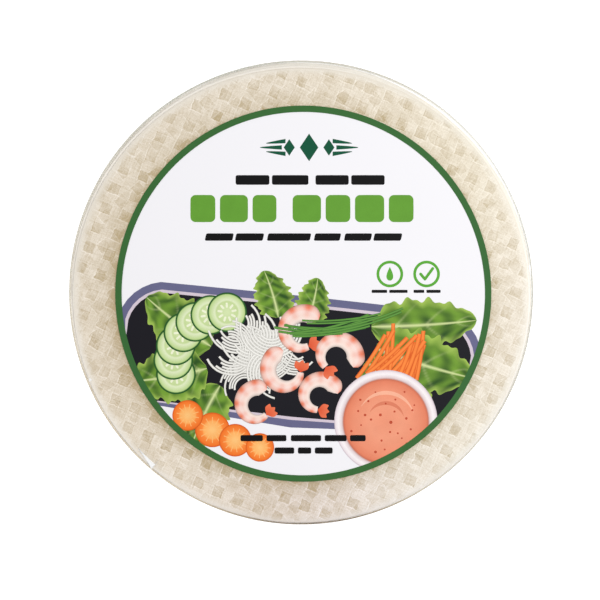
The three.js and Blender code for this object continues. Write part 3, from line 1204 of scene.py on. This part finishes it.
def bundles_tree():
    """Geometry Nodes: strips side by side make a bundle, which is bent along an arc; bundles are
    strewn over a patch, each at its own turn and level. A strip has one ink along its middle and
    another along its edges."""
    inputs = {
        "Bundles": "Int", "Strips": "Int", "Pitch": "Float", "Centre": "Vector", "Spread": "Vector",
        "Length": "Float", "Width": "Float", "Bend": "Float", "Turn": "Float", "Turn Spread": "Float",
        "Level": "Float", "Level Step": "Float", "Seed": "Int", "Edge Ink": "Color",
        "Middle Ink": "Color", "Finish": "Material",
    }
    tree, w, given, result = new_tree("strewn_bundles", "GeometryNodeTree", inputs, {"Mesh": "Geometry"})
    x, y, _ = w.split(w.wire("GeometryNodeInputPosition"))
    index = w.wire("GeometryNodeInputIndex")

    def spread_out(shape, count, place, turn, scale):
        """The shape at each of some places, as one mesh."""
        points = w.wire("GeometryNodePoints", Count=count, Position=place)
        copies = w.wire(
            "GeometryNodeInstanceOnPoints", Points=points, Instance=shape, Rotation=turn, Scale=scale
        )
        return w.wire("GeometryNodeRealizeInstances", copies)

    # One strip: a flat grid with its ink set across it.
    strip = w.wire("GeometryNodeMeshGrid", given["Length"], given["Width"], Vertices_X=18, Vertices_Y=5)
    from_middle = w.math("ABSOLUTE", y) / (given["Width"] * 0.5)
    inked = w.wire(
        "GeometryNodeStoreNamedAttribute",
        data_type="FLOAT_COLOR",
        domain="POINT",
        Name="ink",
        Geometry=strip,
        Value=w.mix(from_middle ** 2.0, given["Middle Ink"], given["Edge Ink"]),
    )

    # A bundle: strips side by side, each a little shorter or shifted, then bent along the arc.
    beside = (index - (given["Strips"] * 0.5 - 0.5)) * given["Pitch"]
    shift = between(w, -0.12, 0.12, given["Seed"] + 4) * given["Length"]
    shorter = between(w, (0.70, 1.0, 1.0), (1.0, 1.0, 1.0), given["Seed"] + 5)
    bundle = spread_out(inked, given["Strips"], w.join(shift, beside), (0.0, 0.0, 0.0), shorter)
    arc = x / given["Length"] * given["Bend"]
    radius = given["Length"] / given["Bend"]
    inner = radius - y
    on_arc = w.join(inner * w.math("SINE", arc), radius - inner * w.math("COSINE", arc))
    bent = w.wire("GeometryNodeSetPosition", Geometry=bundle, Position=on_arc)

    # The bundles, strewn evenly over the patch, one above the other.
    loose = between(w, (-1.0, -1.0, 0.0), (1.0, 1.0, 0.0), given["Seed"]) * given["Spread"]
    lift = w.join(0.0, 0.0, index * given["Level Step"] + given["Level"])
    turn = between(w, -1.0, 1.0, given["Seed"] + 1) * given["Turn Spread"] + given["Turn"]
    sized = between(w, (0.75, 0.75, 1.0), (1.1, 1.1, 1.0), given["Seed"] + 2)
    place = given["Centre"] + loose + lift
    bundles = spread_out(bent, given["Bundles"], place, w.join(0.0, 0.0, turn), sized)
    w.feed(result["Mesh"], w.wire("GeometryNodeSetMaterial", Geometry=bundles, Material=given["Finish"]))
    return tree


# Each kind is (name, middle and half spread of the patch, length and width of a strip, bundles, strips
# in each, bend, turn and its spread in degrees, level, seed, ink of the edges, ink of the middle).
bundle_tree = bundles_tree()
for name, at, spread, size, bundles, strips, bend, turn, level, seed, edge, middle in (
    (
        "picture_noodles", (-20.0, -30.0), (9.0, 8.0), (34.0, 1.1), 13, 7, 3.4, (0.0, 180.0), 21, 4,
        tint(176, 174, 166), tint(250, 248, 242),
    ),
    (
        "picture_carrots", (46.0, -35.0), (13.0, 8.0), (30.0, 2.2), 15, 2, 0.22, (62.0, 30.0), 7, 9,
        tint(214, 84, 26), tint(255, 142, 66),
    ),
    (
        "picture_chives", (20.0, -17.0), (20.0, 5.0), (46.0, 1.2), 7, 2, 0.45, (4.0, 12.0), 42, 15,
        tint(40, 96, 36), tint(104, 158, 70),
    ),
):
    piece = grown(name, bundle_tree, {
        "Bundles": bundles,
        "Strips": strips,
        "Pitch": 1.25 * size[1] / 1000,
        "Centre": (at[0] / 1000 + label_centre.x, at[1] / 1000 + label_centre.y, 0.0),
        "Spread": (spread[0] / 1000, spread[1] / 1000, 0.0),
        "Length": size[0] / 1000,
        "Width": size[1] / 1000,
        "Bend": bend,
        "Turn": math.radians(turn[0]),
        "Turn Spread": math.radians(turn[1]),
        "Level": paper_top + level * ink_step,
        "Level Step": ink_step,
        "Seed": seed,
        "Edge Ink": (*edge, 1.0),
        "Middle Ink": (*middle, 1.0),
        "Finish": ink_finish,
    })
    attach(piece, "root")


# ---- The picture's prawns ----------------------------------------------------------------------
# Cooked prawns, curled: pale pink flesh with coral bands across the back, and a coral tail fan.
# Each prawn is (middle of its curl, heading in degrees, size, level).
flesh_pale = tint(252, 232, 222)
flesh_coral = tint(240, 122, 84)
tail_coral = tint(222, 84, 50)
prawn_curl = 250.0
along = np.linspace(0.0, 1.0, 48)[:, None]
across = np.linspace(-1.0, 1.0, 11)
band = (0.5 + 0.5 * np.cos(2.0 * math.pi * 6.5 * along)) ** 1.6
coral = np.clip((0.34 + 0.62 * band) * np.clip(0.55 + 0.75 * across, 0.0, 1.0), 0.0, 1.0)
gleam = 0.28 * np.exp(-((across - 0.15) / 0.22) ** 2)[:, None]
shade = (1.0 - 0.45 * np.clip(np.abs(across) - 0.70, 0.0, 1.0) / 0.30)[:, None]
flesh = blend(flesh_pale, flesh_coral, coral)
flesh = (flesh + (1.0 - flesh) * gleam) * shade
blade_along = np.linspace(0.0, 1.0, 9)[:, None, None]
blade_across = np.array([-1.0, 0.0, 1.0])[:, None]
blade_wide = 1.5 * np.sin(math.pi * np.clip(blade_along, 0.03, 0.97) ** 1.4)
prawns = Printing("picture_prawns")
for middle, heading, size, level in (
    ((0.0, -19.0), 40.0, 1.12, 34),
    ((16.0, -31.0), -30.0, 1.10, 38),
    ((-8.0, -37.0), 100.0, 1.08, 38),
    ((8.0, -50.0), 10.0, 1.02, 34),
    ((-22.0, -54.0), 60.0, 1.0, 34),
):
    wide = 4.1 * (1.0 - 0.62 * along ** 1.5) * np.clip(along / 0.10, 0.0, 1.0) ** 0.5
    far = size * (8.6 - 2.4 * along ** 2 + wide * across)
    places = middle + far[..., None] * towards(np.radians(heading + prawn_curl * along))
    prawns.field(places, flesh, level)
    tip = places[-1].mean(axis=0)
    for blade, spread in enumerate((-0.55, 0.0, 0.55)):
        way = math.radians(heading + prawn_curl + 90.0) + spread
        ahead, aside = axes(way)
        fan = tip + size * (5.6 * blade_along * ahead + blade_wide * blade_across * aside)
        prawns.field(fan, blend(tail_coral, flesh_coral, blade_along[..., 0]), level + 1 + blade)
prawns.done()


# ---- The picture's dip -------------------------------------------------------------------------
# A white dish of salmon-pink dip at the lower right, seen from above, with a swirl and red flecks,
# printed over the ends of the slate and the carrots. Its rings of ink are (radius, colour).
dip_at = np.array([40.0, -62.0])
dish_rings = (
    (25.0, tint(206, 192, 200)),
    (24.2, tint(240, 228, 232)),
    (23.0, tint(250, 243, 244)),
    (21.4, tint(226, 208, 210)),
    (20.6, tint(190, 130, 115)),
)
dip_rings = (
    (20.6, tint(206, 112, 84)),
    (19.4, tint(230, 132, 100)),
    (16.0, tint(238, 146, 114)),
    (8.0, tint(242, 158, 126)),
    (1.0, tint(240, 152, 120)),
)
fleck_rings = ((1.0, tint(176, 60, 40)), (0.3, tint(200, 84, 54)))
fleck_count = 26
dip = Printing("picture_dip")
dip.disc(dip_at, 1.0, dish_rings, 22)
dip.disc(dip_at, 1.0, dip_rings, 23)
arc = towards(np.linspace(0.3, 2.6, 30))
thick = 0.9 * np.sin(np.linspace(0.0, math.pi, 30))[:, None] + 0.05
for radius, colour in ((14.0, tint(248, 180, 150)), (9.0, tint(222, 128, 98))):
    dip.stroke(radius * arc + dip_at, arc, thick, colour, level=24)
draw = np.random.default_rng(8)
for i in range(fleck_count):
    way = 2.4 * i + draw.uniform(-0.4, 0.4)
    far = 17.5 * math.sqrt((i + 0.5) / fleck_count)
    dip.disc(dip_at + far * towards(way), draw.uniform(0.35, 0.8), fleck_rings, level=25, columns=10)
dip.done()


# ---- The picture's carrot rounds ---------------------------------------------------------------
# Thin slices across a carrot at the lower left, each printed over the one before it and smaller: a
# deep orange rim and a paler core with rays. Its rings of ink are (share of its radius, colour).
coin_rings = (
    (1.00, tint(206, 84, 24)),
    (0.90, tint(244, 118, 40)),
    (0.60, tint(252, 140, 62)),
    (0.50, tint(255, 176, 96)),
    (0.10, tint(255, 196, 122)),
)
ray_ink = tint(255, 192, 120)
ray_count = 12
coins = Printing("picture_coins")
for i, middle in enumerate(((-44.0, -66.0), (-33.0, -71.0), (-56.0, -59.0), (-21.0, -74.5))):
    size = 8.4 - 0.5 * i
    coins.disc(middle, size, coin_rings, 22 + 2 * i)
    for k in range(ray_count):
        way = 2.0 * math.pi * (k + 0.3 * i) / ray_count
        ray_at = middle + 0.55 * size * towards(way)
        coins.block(ray_at, (0.4 * size, 0.35), 0.17, ray_ink, 23 + 2 * i, turn=way)
coins.done()


# ---- The label's foot line ---------------------------------------------------------------------
# Two short rows of black bars, where a pack says how much is in it. They are printed over the foot
# of the picture, and only the border lies higher.
foot = Printing("label_foot")
for rise, spans in (
    (-70.0, ((-30.4, -19.6), (-17.8, -8.2), (-6.0, 8.6), (10.4, 21.0), (22.6, 30.2))),
    (-76.0, ((-13.9, -4.4), (-2.6, 3.8), (5.6, 14.2))),
):
    foot.bars(rise, 3.0, 0.8, word_black, spans, level=51)
foot.done()
